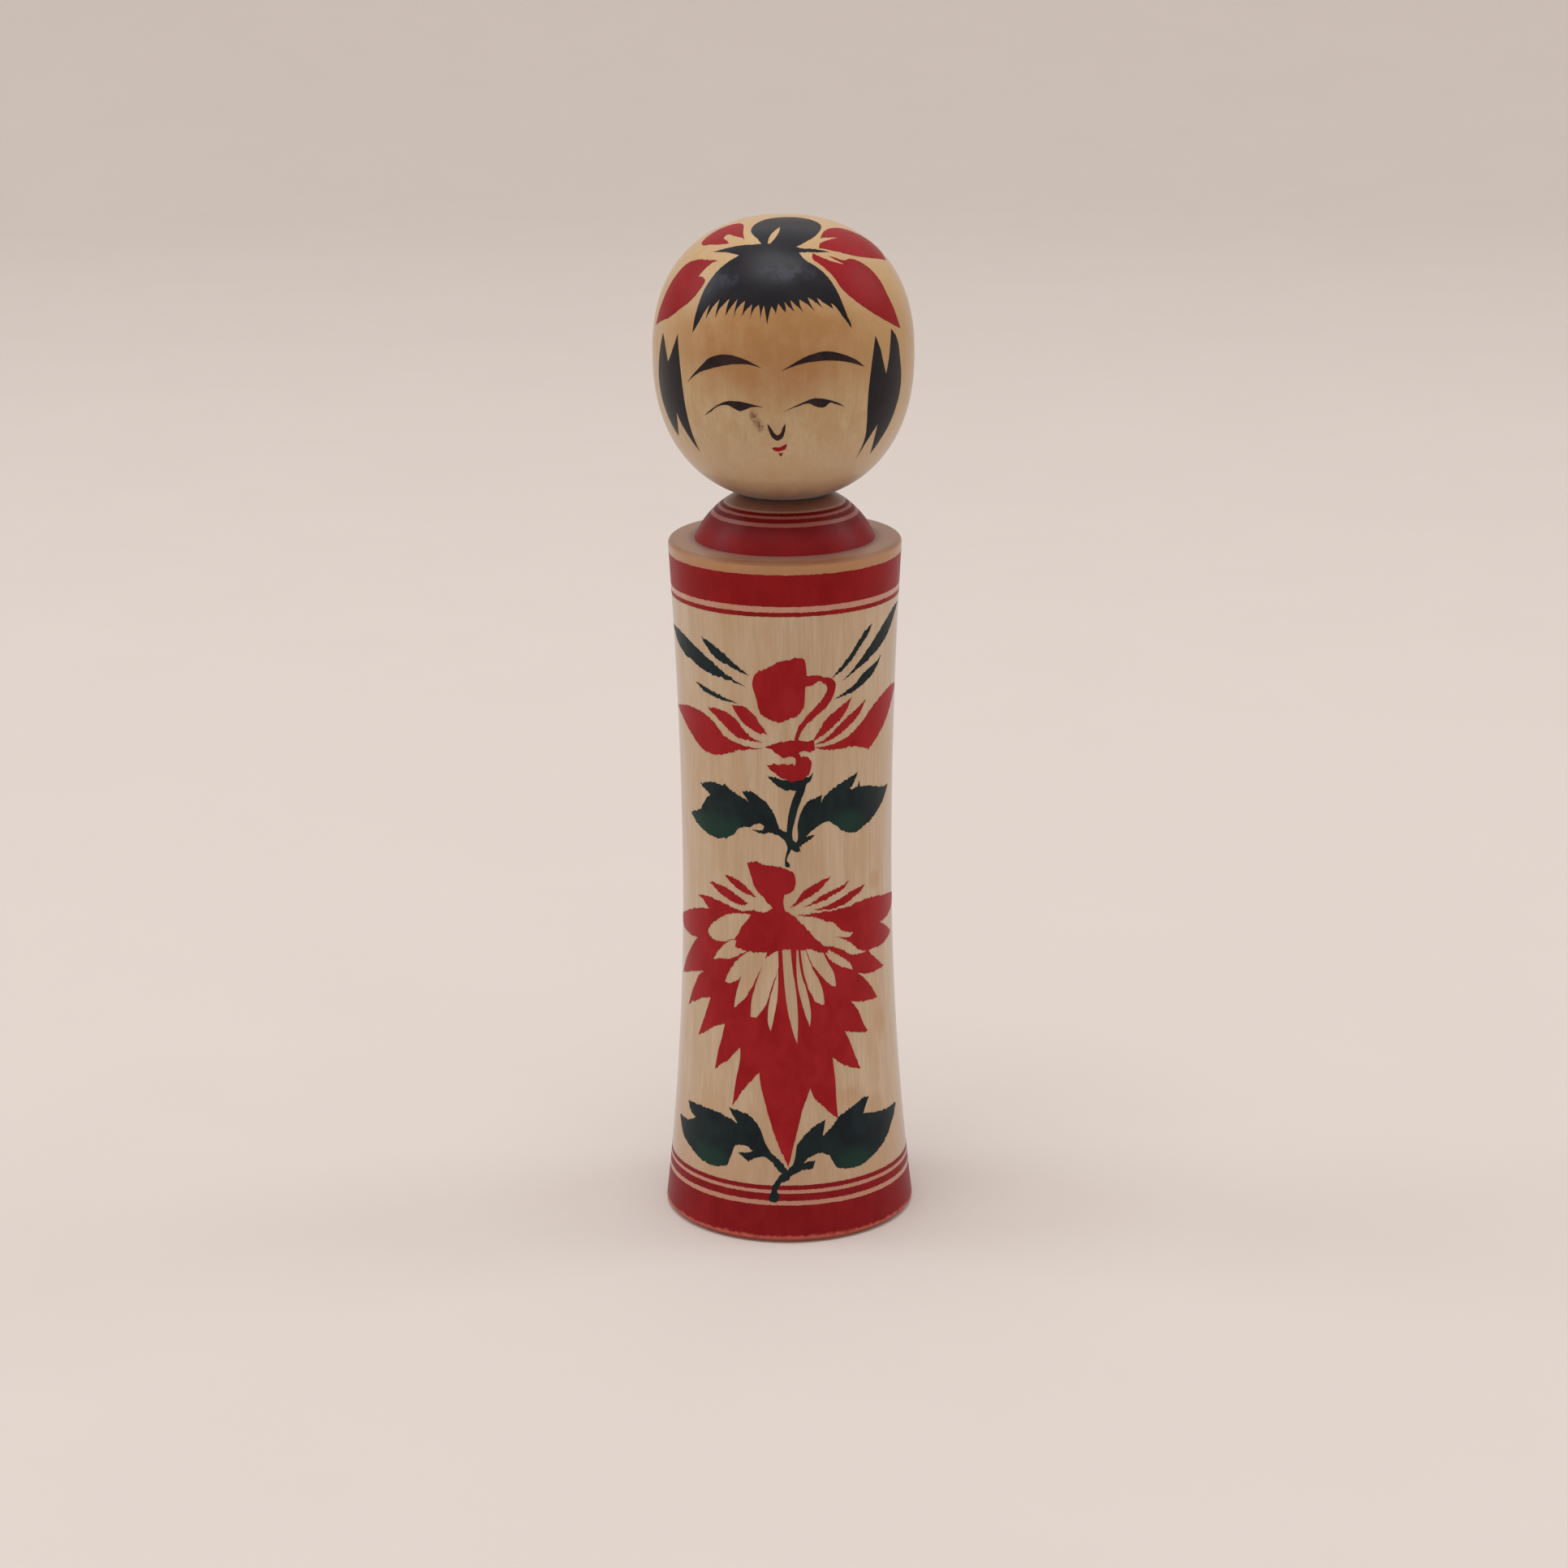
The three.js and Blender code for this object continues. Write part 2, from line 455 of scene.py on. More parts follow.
# Body, as (degrees from the front, height)
LOWER_FLOWER = [
    (PAINT, [  # the mass of petals, from the top left, down the left side and back up the right
        [(-18, 61.2), (-28, 61.6), (-42, 62.6), (-50, 62.8)], [(-57.5, 62.3), (-53, 61.9), (-49, 60.9)],
        [(-47.5, 60.5), (-55, 60), (-65, 58.9), (-75, 57.4)], [(-90, 55.2), (-80, 54.1), (-70, 53.9)],
        [(-58, 54), (-62, 52.8), (-67, 51), (-72, 49)], [(-80, 45.3), (-72, 46.2), (-58, 47.8)],
        [(-51, 48.5), (-55, 47.6), (-60, 45.3), (-64, 43)], [(-67.5, 40.6), (-60, 41.9), (-53, 43.2)],
        [(-46, 44), (-48, 42), (-51, 39.5)], [(-55.5, 35.9), (-50, 37), (-43, 38.7)],
        [(-35.5, 39.7), (-37, 37.5), (-39.5, 34.5)], [(-41.5, 30.6), (-38, 31.9), (-33, 33.2), (-29, 34.8)],
        [(-26, 35.8), (-26, 33.5), (-27.5, 31)], [(-29.8, 24.7), (-25, 27.5), (-20, 29.8)],
        [(-15.3, 31.8), (-14.5, 29.5), (-12.5, 26.5), (-5.5, 18.5)], [(-0.5, 14.3), (4.5, 21.5), (7, 25)],
        [(11, 28.7), (12.5, 27.3), (18, 25), (22, 23.5)], [(25.3, 22.6), (24.8, 26), (24.5, 30)],
        [(23.3, 34), (26, 33.2), (35, 31.4)], [(40.3, 30.8), (37, 33.5), (34, 36.3)],
        [(31, 38.6), (35, 38.1), (41, 37.5)], [(46.8, 37.2), (43, 39.5), (40, 41.8)],
        [(35.3, 44), (40, 43.4), (47, 43)], [(55.8, 42.8), (51, 45.2), (46, 47.2)],
        [(40, 48.9), (46, 48.2), (54, 47.9)], [(64, 48), (58, 49.5), (52, 51.2)],
        [(49, 52.3), (54, 52.3), (62, 52.2)], [(77, 53.2), (70, 54.8), (64, 56)],
        [(60, 56.7), (66, 56.6), (74, 57)],
        [(92, 58.8), (80, 60.2), (70, 60.9), (50, 62.1), (30, 61.5), (14, 61.3)],
        [(6, 61.2), (0, 60.5), (-10, 60.8)],
    ]),
    (BARE, [
        [(-20, 61), (-28, 60.9), (-35, 60.2), (-41, 59), (-48.3, 56), (-43, 54.9), (-37, 55.1)],
        [(-30, 56.1)], [(-26, 57.5)],
    ]),
    (BARE, [
        [(-30, 56), (-35, 55), (-40, 53.3)], [(-44.3, 51.2)], [(-40, 51.8), (-34, 52), (-29, 52.8)],
        [(-22, 54.2)],
    ]),
    (BARE, [
        [(-22, 54), (-28, 52.2), (-32, 50.5)], [(-36, 47.7)], [(-33, 47.5), (-26, 49), (-22, 51.8)],
        [(-19, 54.2)],
    ]),
    (BARE, [
        [(-20.5, 53.8), (-24, 50.5), (-28, 47)], [(-30, 43)],
        [(-28, 43.7), (-24, 45), (-20, 47.2), (-16, 50)], [(-11, 54.2)],
    ]),
    (BARE, [
        [(-12.5, 53), (-17, 48.5), (-19.5, 45.5)], [(-20.3, 41.9)],
        [(-17, 41.8), (-12.5, 44), (-8, 48.5), (-5.3, 51)], [(-5, 54.8)],
    ]),
    (BARE, [
        [(-9, 46.5), (-10.8, 43), (-10.7, 41), (-9.5, 39.6), (-8, 41.5), (-6, 45)], [(-5.2, 51)],
    ]),
    (BARE, [
        [(-3, 54.8), (-2.3, 50), (0.5, 42), (3, 38.8)], [(4.5, 37.2), (5, 40), (4.2, 47), (2.5, 51)],
        [(1.5, 54.8)],
    ]),
    (BARE, [
        [(4.6, 54.6), (5.2, 48), (7, 45), (9, 42.5)], [(11.3, 40.2), (12, 42), (9.5, 47.5), (7, 50.5)],
        [(5.5, 54.6)],
    ]),
    (BARE, [
        [(6.8, 54.6), (9, 49.5), (12, 46.5), (16, 44.5), (18.8, 44), (19.2, 46), (17, 48.5), (13, 51.2)],
        [(9.5, 54.6)],
    ]),
    (BARE, [
        [(9.8, 54.8), (13, 51.8), (18, 49.5), (22, 48), (25.8, 47.1), (25.5, 49.5), (22.5, 51.5)],
        [(18, 54.4)],
    ]),
    (BARE, [
        [(20.5, 53.6), (23, 52.4), (28, 51), (33, 50.2)], [(37, 49.5), (36.5, 50.3), (32, 52), (28, 53)],
        [(22.5, 54.3)],
    ]),
    (BARE, [
        [(15, 55), (25, 54.7), (38, 52.4)], [(48, 52.3), (42, 53.1), (36, 54.8), (30, 56)],
        [(22, 57), (14, 57.4), (12, 56.5)],
    ]),
    (BARE, [
        [(10, 57), (22, 56.9), (30, 56.2), (36, 56)],
        [(38, 56.5), (30, 57.6), (26, 59), (22, 59.5), (15, 60.5), (8, 61)], [(2, 61.2), (5, 59)],
    ]),
    (PAINT, [  # the dark heart, with the hat above it
        [(-22, 70.6), (-18, 70.9), (-12, 70.4), (-3, 70), (3, 69), (4.5, 67.5), (3.5, 66), (1, 65.1)],
        [(-1.5, 65), (-2.2, 63.5), (-1.5, 62.2), (2, 61.3), (6, 60.1), (10, 58.6), (14, 57), (18, 55.6)],
        [(22.3, 53.6), (18, 53.9), (14, 54.4), (8, 55), (-3, 55.1)], [(-3, 54.6), (-10, 54.3), (-20, 54.1)],
        [(-29.5, 54.5), (-28, 56.6), (-26, 58.2), (-22, 60), (-18, 61.5), (-12, 61.7)],
        [(-8, 62.5), (-11.5, 63.8), (-15, 65), (-18, 66.5), (-20, 68.5)],
    ]),
    (PAINT, [
        [(-31, 61.35), (-25, 61.4), (-17, 61.4)], [(-17, 61), (-25, 61.05)],
    ]),
    (PAINT, [  # the vein down the middle
        [(-5.2, 54.8), (-5, 52)], [(-4.2, 43), (-3.2, 50)], [(-3, 54.8)],
    ]),
    (PAINT, [
        [(-36, 67.6), (-32, 67.6), (-26, 66.8), (-21, 65.6)],
        [(-17, 64.3), (-20, 64.5), (-26, 65.2), (-31, 66.3)],
    ]),
    (PAINT, [
        [(-47, 65.6), (-40, 65.6), (-33, 65.1), (-27, 64)],
        [(-21.5, 63), (-24, 62.6), (-30, 62.8), (-36, 63.5)],
    ]),
    (PAINT, [
        [(1.5, 62.5), (5, 64), (9, 65.5), (14, 66.6)], [(24, 67.8), (20, 66.3), (15, 65), (10, 64.1)],
    ]),
    (PAINT, [
        [(9, 62.6), (15, 63.6), (20, 64.6), (28, 65.4)], [(35.5, 66.4), (31, 65), (25, 64.2), (18, 63.3)],
    ]),
    (PAINT, [
        [(14, 62), (20, 62.3), (28, 63.2), (36, 64.2)],
        [(46.8, 65), (44, 64), (38, 63), (30, 62), (22, 61.7)],
    ]),
]

UPPER_FLOWER = [
    (PAINT, [  # bud
        [(-14, 105.9), (-7, 107), (-4, 107.6), (3, 108.1), (7, 108.4), (9, 108), (10.4, 106), (9.8, 102.5),
         (8.5, 99), (7, 98.2), (1, 97.2), (-2, 96.8), (-6, 96.8), (-10, 97.4), (-13, 98.2), (-15.5, 101),
         (-17.2, 104), (-16.2, 105)],
    ]),
    (PAINT, [  # curl beside the bud
        [(9.4, 104.9), (14, 105), (21, 104.5), (24, 104.2), (26, 103.2), (25, 101), (20, 98.8), (13, 96.9),
         (9.5, 95.8), (6.5, 93.8)], [(6, 92.6), (3.6, 92.6)],
        [(4, 93.3), (6.5, 95.8), (12, 98.2), (18.5, 100.5), (21.5, 102.5), (18, 103.9), (12.5, 103.2)],
        [(9.2, 102.9)],
    ]),
    (PAINT, [  # lens under the bud
        [(-11.3, 92.1), (-8, 92.6), (-4, 93), (0, 93.2), (6, 93.5), (9, 93.2)], [(14.5, 93.3)],
        [(15, 91.4), (12, 91.2), (9, 91.3)], [(6.5, 91), (7, 90.6)],
        [(7.5, 90.3), (11, 90.3), (13, 89.4), (13, 88.2), (10, 86.5), (4, 85.95), (1, 86.1), (-5, 87),
         (-8, 87.9)], [(-10.3, 88.8), (-6, 89.1), (-2, 89.1)], [(4.5, 89), (4.8, 89.6)],
        [(4.5, 90.2), (3, 90.4), (-1, 90.3), (-4, 90.7), (-8, 91.7)],
    ]),
    (PAINT, [  # petals on the left
        [(-82, 95.5), (-70, 96.5), (-60, 97.1), (-52, 97), (-43.5, 96.1), (-33, 93.2), (-22, 92.1)],
        [(-12.5, 91.8), (-18, 91.6), (-28, 90.9), (-40, 89.6), (-50, 90), (-60, 92), (-71, 94.2)],
    ]),
    (PAINT, [
        [(-45, 98), (-38, 98.2), (-34, 98), (-26, 96.4), (-21.2, 94.5), (-19, 93.8)],
        [(-12, 93), (-20, 93.1), (-27, 93.6), (-35, 95.6)],
    ]),
    (PAINT, [
        [(-29, 99.2), (-26, 99.3), (-21, 99.1), (-18, 98.3), (-12.5, 95.8)],
        [(-10, 94.6), (-14, 94.6), (-18, 95.2), (-25.5, 97.3)],
    ]),
    (PAINT, [  # petals on the right
        [(36, 100.2), (28, 98.6), (21.5, 97), (17, 94.8)],
        [(13.6, 92.9), (18, 93.8), (25, 95.3), (31, 97.2)],
    ]),
    (PAINT, [
        [(46, 99.1), (39, 97.8), (30, 95.9), (22, 93.6)],
        [(14.6, 92.4), (22, 92.8), (32, 94.5), (40, 96.4)],
    ]),
    (PAINT, [
        [(14.6, 91.9), (22, 92), (34, 93.2), (42, 94.9), (50, 97.1), (60, 99), (72, 99.7)],
        [(84, 99), (75, 96.8), (65, 93.8), (55, 91.2)], [(48.5, 89.8), (40, 90.9), (30, 91.1), (22, 91.2)],
    ]),
]

UPPER_STROKES = [
    (PAINT, [
        [(-47.5, 110.6), (-43, 110.3), (-33, 108.5), (-28, 107.2)],
        [(-19, 105), (-23, 105.4), (-28, 106.1), (-38, 107.4)],
    ]),
    (PAINT, [
        [(-84, 110.2), (-70, 110.3), (-60, 109.6), (-50, 108.2), (-40, 106.4), (-30, 104.4)],
        [(-21, 102.9), (-30, 103.7), (-45, 104.5), (-55, 105.6), (-68, 107)],
    ]),
    (PAINT, [
        [(-54, 102.2), (-48, 101.9), (-42, 101.3), (-36, 100.7)],
        [(-25.5, 99.7), (-36, 100), (-42, 100.4), (-49, 101.2)],
    ]),
    (PAINT, [
        [(24, 104.3), (28, 105.7), (36, 108.6), (40, 110.4), (44, 111.8)],
        [(49, 112.8), (46, 111), (41, 109.2), (32, 105.9)],
    ]),
    (PAINT, [
        [(30, 103.5), (35, 104.8), (45, 107.9), (55, 110.9), (66, 113.4), (72, 114.2)],
        [(80, 114.4), (75, 113.2), (65, 110.1), (55, 107.8), (45, 106.1), (35, 104.4)],
    ]),
    (PAINT, [
        [(25.5, 100.3), (35, 101.9), (40, 103.1), (43, 104), (52, 105.3)],
        [(58, 106.4), (54, 104.6), (46, 102.6), (37, 101.2)],
    ]),
]

UPPER_LEAVES = [
    (PAINT, [  # calyx and stem
        [(-10.2, 86.9), (-6, 86.5), (0, 86.1), (8, 86.2)],
        [(14, 87.2), (13.3, 86.4), (10.5, 85.2), (9.5, 84), (7, 82), (4.5, 79), (2.8, 76.4), (3.2, 74)],
        [(1.5, 73), (0.2, 72), (-0.1, 71.2), (1.4, 70.6)],
        [(1.2, 70.1), (-0.7, 70.2), (-1.2, 71.2), (-0.6, 72.4), (0.2, 73.6), (-0.2, 75.2), (0.2, 78),
         (1, 80), (2.5, 82)], [(5, 84.2), (3, 84.25), (-0.5, 84.3), (-6, 85.3)],
    ]),
    (PAINT, [  # right leaf
        [(3, 75.2), (5, 74.7), (5.6, 75.3), (5.7, 78), (7.5, 80.2), (11, 82), (16, 82.7)], [(19, 83.1)],
        [(18.3, 81.8), (21.5, 83.1), (27.5, 84.4), (35, 85.5)], [(41, 86.1), (38.5, 84.6)], [(35.5, 83.5)],
        [(40.8, 83.4)], [(42, 84.7)], [(42.6, 83.4), (49, 83.1), (56, 82.4), (65, 81.7)],
        [(71, 81.5), (67, 80), (61, 78.4), (55, 77.2), (46, 75.8), (38, 75.15), (33, 75.6), (27, 77.1),
         (22, 78.05), (18, 77.6), (14, 76.7)], [(10, 75.6), (12.5, 75.7)],
        [(15, 75.8), (12, 74.9), (8, 74.2)], [(6.5, 73.7)],
        [(7.3, 72.9), (5.5, 72.8), (4, 73), (2.6, 73.6)],
    ]),
    (PAINT, [  # left leaf
        [(0.6, 76.6), (-1.5, 76.7), (-3.5, 77.2), (-6, 79.2), (-8.5, 81), (-14, 82.8), (-20.5, 83.8)],
        [(-24.2, 83.6), (-22.5, 82.7)], [(-20.5, 81.8), (-26.5, 82.9), (-32, 83.9)],
        [(-34.3, 84.4), (-37, 84.2), (-42, 84.4), (-47, 84.1)], [(-53, 83.4), (-47.5, 82.4)],
        [(-45, 82), (-49.5, 80.5), (-54, 78.6), (-60, 77.8)],
        [(-63.5, 77.2), (-58, 75.9), (-50, 74.8), (-41, 74.1), (-34, 74.6), (-28.5, 75.9), (-26, 76.9),
         (-20.5, 77.2), (-16, 78)], [(-13.3, 77.9), (-12.3, 77.4), (-13, 76.9), (-16, 76.75)],
        [(-19, 76.8), (-14.5, 76.2), (-8, 76.3), (-5, 76), (-1.5, 75), (0, 74)], [(1.5, 73.4)],
    ]),
]

LOWER_LEAVES = [
    (PAINT, [  # left leaf
        [(-32, 24.3), (-27, 24), (-20, 23.4), (-15, 21.4), (-11.5, 18.4), (-8.5, 16.7), (-4, 15.2)],
        [(-0.3, 13.4), (-2.2, 12.9), (-5, 13.4), (-9, 15.3), (-12, 15.9), (-15.5, 15.8)],
        [(-20.5, 14.85), (-24, 15.7)], [(-26, 16.2), (-22.5, 16.4)],
        [(-18.2, 17), (-22, 17.7), (-27, 17.6), (-29.5, 15.6), (-32, 13.5), (-39, 12.7), (-48, 13),
         (-58, 14.4), (-67, 16.2)], [(-72, 18.9), (-65, 19), (-60.5, 19.2)], [(-54.5, 20.5), (-59, 21)],
        [(-62.5, 22.6), (-55, 22.9), (-45, 23), (-35, 22.7)], [(-26.5, 21.6), (-28.5, 22.6)],
    ]),
    (PAINT, [  # right leaf
        [(0, 14), (1.5, 14.5), (2.7, 16), (4.2, 18.4), (8, 20.2), (13, 21.7)], [(18.5, 22.6), (18, 21.8)],
        [(16.8, 19.7), (20.5, 20.7), (26, 22.8), (35, 24.3), (42, 25.2)], [(45, 25.1), (43.5, 24.2)],
        [(40.5, 22.4), (45, 22), (55, 21.4), (66, 21.2)],
        [(70.5, 21.1), (67, 19.5), (61, 17.4), (56, 15.9), (46, 14), (38, 12.9), (31, 12.75), (23.5, 13.6),
         (19, 16.1), (14.5, 16.6), (10, 15.9)], [(6.8, 14.9), (8, 15)],
        [(12.7, 15.3), (10.5, 13.7), (7.5, 13.7), (2, 12.8)], [(0, 12.2)], [(-3, 12.9)],
    ]),
    (PAINT, [  # stem, over the rings
        [(-4, 12.9), (-6.4, 11.8), (-8.2, 10.6), (-8.8, 9.4), (-9.8, 8.7), (-9.4, 7.9), (-7.5, 7.6),
         (-5.2, 8), (-5, 8.9), (-5.9, 9.6), (-4.8, 10.6), (-2.2, 11.5), (0.4, 12.3)], [(0, 13.2)],
    ]),
]

# Head, as (degrees to the side, degrees up and over)
# Fringe hairs from right to left: right side, tip, left side, and the gap before the next one
FRINGE = [
    [(20.3, 30.3), (20.8, 29.3), (17, 31.2), (13.7, 33.3)],
    [(14.9, 30.8), (16.6, 28.8), (12.5, 31.6), (9.9, 33.1)],
    [(10.9, 30.6), (12.8, 27.7), (9, 30.6), (6.5, 31.9)],
    [(6.8, 29.6), (8.1, 27), (5, 29.7), (2.9, 31.6)],
    [(3.4, 29.4), (4.6, 26.8), (2.2, 29), (0.3, 30.8)],
    [(0.9, 28.9), (1, 26.4), (-0.5, 28.3), (-2, 30.2)],
    [(-2.4, 28.6), (-3, 25.6), (-4, 28), (-4.8, 29.3)],
    [(-5.6, 26.6), (-6.7, 21.6), (-7.2, 26), (-7.8, 29.7)],
    [(-8.6, 27.5), (-9.5, 23.9), (-9.5, 27.5), (-9.9, 30.1)],
    [(-12.2, 28), (-13.7, 24.2), (-13.1, 27.8), (-12.6, 30.6)],
    [(-15.2, 28.4), (-17.1, 26), (-16.3, 29), (-15.5, 32.4)],
    [(-19, 29.5), (-20.7, 25.8), (-19.7, 30.4), (-18.6, 33.6)],
    [(-22.3, 29.8), (-24.4, 26.8), (-23.3, 31.3), (-22, 34.3)],
    [(-27.3, 30.1), (-29.1, 27), (-27.9, 31.8), (-26.5, 35.3)],
    [(-31.8, 30.2), (-33.8, 27.3), (-32.4, 31.5), (-31.2, 34.2)],
]


def fringe_spans():
    """The lower edge of the bangs, from the right-hand lock to the left-hand one."""
    spans = []
    gap = (19.6, 31.7)
    for right, tip, left, next_gap in FRINGE:
        spans.append([gap, right])
        spans.append([tip, left])
        gap = next_gap
    return spans + [[gap, (-34.8, 30.3), (-37, 27.3), (-39.8, 23.7)]]


BANGS_AND_TOPKNOT = [
    (PAINT, [
        [(-41.6, 21.5), (-40.8, 25), (-39.4, 30), (-37, 36), (-33, 43.5), (-30, 47), (-26, 50.5),
         (-22, 53)], [(-17.5, 54.8), (-22, 58.2), (-26, 61)], [(-29, 63), (-24, 62), (-18, 61), (-13, 60)],
        [(-8.5, 59.2), (-9.5, 62), (-11.5, 66), (-12.8, 70.5), (-12, 75.5), (-9.5, 80), (-6, 83.5),
         (-2.5, 85.5), (3.5, 86.5), (9.5, 85.5), (13.5, 82.5), (15.8, 77.6), (15.5, 73), (12.5, 65),
         (9, 60.5)], [(5.3, 56.8), (8, 56.3), (13, 56.8)], [(19, 56.9), (14, 55.2), (9, 54.3)],
        [(6.3, 53.7), (9, 50), (13, 47.5), (17, 44.5), (20, 41), (22.5, 37), (25, 32), (27.5, 26.5),
         (29.3, 23)], [(29.4, 21.6), (27.3, 24.2), (25, 26.5), (21.5, 30.6)], *fringe_spans(),
    ]),
    (BARE, [
        [(-6, 59), (-5.5, 63), (-3.5, 68)], [(-1, 71.8), (-1.5, 67), (-3, 62.5)], [(-4.7, 59.2)],
    ]),
]

RIBBONS = [
    (PAINT, [  # lower right
        [(12, 54), (20, 54.5), (25, 54.5), (28, 57), (33, 58), (38, 57), (43, 54), (48, 48), (53, 42),
         (57, 35.5)],
        [(60, 30), (55, 29.5), (48, 30), (40, 31.5), (33, 34), (28, 36.5), (24, 39.5), (21, 43.5),
         (18, 46.5), (14, 49.5), (12, 51)],
    ]),
    (BARE, [
        [(12, 54.2), (16, 52.6), (20, 51.8), (25, 52.3)], [(21, 53.3), (17, 54.8)],
    ]),
    (PAINT, [  # upper right
        [(14.5, 58), (22, 58.5), (30, 60.3), (37, 65), (42.5, 72)],
        [(47, 81), (42, 91), (32, 87), (21, 79), (17, 72)], [(15.5, 66.5)],
    ]),
    (BARE, [
        [(15, 61), (17, 63.5), (20, 66.5)], [(22.5, 69.5), (19, 67.3), (15.5, 65)],
    ]),
    (PAINT, [  # upper left
        [(-22, 65), (-27, 67.5), (-30, 70.5), (-34, 75), (-34.5, 80), (-31, 84.5), (-25, 86.5), (-18, 84),
         (-16, 79), (-16, 75), (-16, 70)], [(-15.5, 64.5)], [(-16.5, 66.5), (-19.5, 69.5), (-23, 73.5)],
        [(-24.5, 71), (-23, 68)],
    ]),
]

# Head, as (degrees about the axis, height)
LEFT_RIBBON = [
    (PAINT, [
        [(-78, 164), (-70, 165.2), (-62, 166.3), (-55, 168), (-48, 170), (-45, 171.5), (-44, 173.2)],
        [(-47, 173.6)], [(-50, 173.5), (-48, 174.8), (-45, 175.8)],
        [(-42, 176.2), (-50, 176.1), (-60, 175.8), (-68, 174.8), (-73, 172), (-75, 169)],
    ]),
]

SIDE_LOCKS = [
    (PAINT, [  # left
        [(-66.2, 163.4), (-68, 161), (-70, 158), (-71, 155), (-70, 152), (-68, 149.5)],
        [(-62, 145.5), (-61, 146), (-59.5, 147)], [(-56.5, 150.2), (-55, 148.5), (-52, 146.3)],
        [(-47.5, 143.5), (-48.3, 147), (-48.8, 151), (-49.5, 155), (-51.2, 160)],
        [(-53.3, 163.9), (-55.8, 161.5), (-58.2, 159.8)], [(-60, 158.8), (-62, 160.5), (-64, 162.2)],
    ]),
    (PAINT, [  # right
        [(44, 163.8), (42, 161), (40.5, 158), (39.5, 155), (39.5, 152), (40.5, 149), (41.5, 146.5)],
        [(40.5, 142.3), (43, 145), (45.5, 146.8)], [(48, 148.2), (48.6, 145.5)],
        [(50.5, 142.6), (54, 145), (57, 147), (60, 150), (62, 153), (62.3, 156), (61, 159), (58.5, 163)],
        [(55.2, 164.4), (53.5, 162), (52, 159.5)], [(50, 157), (48, 159.3), (46.5, 161.5)],
    ]),
]

FACE_LINES = [
    (PAINT, [  # brows
        [(-46, 156), (-42, 157.7), (-38, 159.2), (-34, 160.6), (-30, 161.3), (-24, 161.6), (-18, 161.1)],
        [(-9.4, 159.6), (-15, 160.1), (-20, 160.1), (-30, 159.3), (-40, 157.8)],
    ]),
    (PAINT, [
        [(-1, 159.1), (4, 160.3), (8, 161.2), (13, 161.9), (18, 162.2), (23, 161.9), (28, 161.2),
         (33, 160.2)], [(37, 158.9), (33, 159.5), (27, 160.2), (20, 160.6), (14, 160.6), (8, 160.3)],
    ]),
    (PAINT, [  # eyes
        [(-37.8, 150.6), (-33, 152), (-29, 153), (-25, 153.6), (-20, 153.7), (-15, 153.4)],
        [(-8.5, 152.8), (-14, 152.8), (-17, 152.3), (-19.5, 152), (-22, 152.4), (-25, 152.9), (-30, 152.5),
         (-34, 151.4)],
    ]),
    (PAINT, [
        [(0, 152.1), (4, 152.9), (8, 153.6), (12, 154.2), (16, 154.2), (20, 153.8), (24, 153.2)],
        [(27.5, 152.4), (23, 153), (20, 153.3), (18.5, 152.8), (16, 152.6), (13.5, 152.9), (11, 153.4),
         (6, 153)],
    ]),
    (PAINT, [  # nose
        [(-7.4, 149.9), (-6.7, 148.5), (-5.1, 147.3), (-3, 146.85), (-1, 147.3), (0.3, 148.4)],
        [(0.6, 150), (-0.7, 149.1), (-1.6, 148.2), (-3, 147.85), (-4.3, 148.2), (-5.7, 149.1)],
    ]),
]

MOUTH = [
    (PAINT, [
        [(-5.9, 145.5), (-4, 145.6), (-2, 145.6), (-0.6, 145.9)],
        [(1.2, 146.3), (0.6, 145.3), (-1.2, 144.95), (-3.2, 144.8), (-4.8, 145)],
    ]),
    (PAINT, [
        [(-2.9, 144.6), (-1.7, 144.45)], [(-0.5, 144.65), (-1.1, 144.1), (-1.7, 143.8), (-2.3, 144.1)],
    ]),
]

# Painted rings, as the lower and upper edge of each: heights, and degrees up the dome's arc
SIDE_RINGS = [(117.55, 123.22), (115.72, 116.5)]
DOME_RINGS = [(23.8, 43.1), (46.0, 49.2), (51.4, 53.9)]
FOOT_RINGS = [(9.97, 10.76), (7.94, 9.28), (FOOT_CHAMFER, 7.06)]
CHAMFER_RING = (0.12, FOOT_CHAMFER)


def gaps(rings):
    """The bare strips between rings that are listed from the top down."""
    return [(below[1], above[0]) for above, below in zip(rings, rings[1:])]


# Lowest and highest point of the bare wood at the shoulder
SIDE_TOP = (123.2, 126.5)
LEDGE = (124.9, 128.5)
DOME_GAPS = (129.5, 132.0)
DOME_CAP_EDGE = (131.8, 132.3)

# Marks, as (degrees about the axis, height), the stains with half their width and height too
STAINS = [(33, 26, 2.5, 2), (50, 23, 2, 2.2), (57, 38, 1.6, 2.6), (55, 65, 1.5, 1.5)]
GREEN_LOBES = [(-52, 76), (-33, 76), (34, 77), (-42, 14), (34, 14)]
SMUDGE = [(-13.5, 151.4), (-12, 150.3), (-10.8, 149.3)]

# Painted highlights in the hair, as (degrees to the side, degrees up and over, half width)
HAIR_HIGHLIGHTS = [(-22, 44, 2.6), (-1, 44, 3.2), (8, 43, 2.4)]


# ---------------------------------------------------------------- materials


def srgb(red, green, blue):
    """A colour given as 0 to 255, as Blender's linear numbers."""
    def linear(value):
        value /= 255
        return value / 12.92 if value <= 0.04045 else ((value + 0.055) / 1.055) ** 2.4
    return (linear(red), linear(green), linear(blue), 1)


